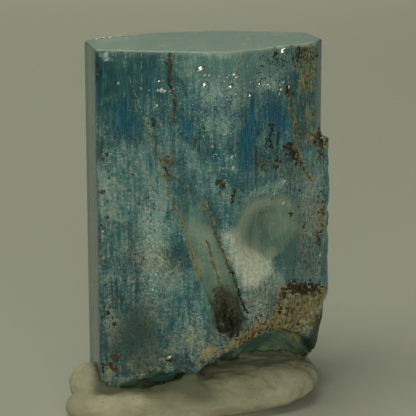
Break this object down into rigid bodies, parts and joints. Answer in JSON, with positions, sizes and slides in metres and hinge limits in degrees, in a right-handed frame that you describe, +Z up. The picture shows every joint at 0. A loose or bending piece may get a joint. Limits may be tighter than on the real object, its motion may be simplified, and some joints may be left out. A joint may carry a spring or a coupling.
{
  "type": "aquamarine crystal",
  "caption": "Natural blue-green beryl prism with a flat termination and a broken lower end, standing upright in a pad of display putty.",
  "frame": {"origin": "on the ground under the middle of the whole piece's bounding box", "axes": "+Z up along the prism, -Y out of the broad front face, +X to that face's right as it is looked at"},
  "size_m": [0.0244, 0.0212, 0.0332],
  "materials": {
    "aquamarine": "vitreous, striated along the prism, included and iron-stained",
    "putty": "soft matt cream-grey mineral putty with finger marks"
  },
  "bodies": {
    "root": {"aquamarine_crystal": "aquamarine", "putty_pad": "putty"}
  },
  "joints": []
}
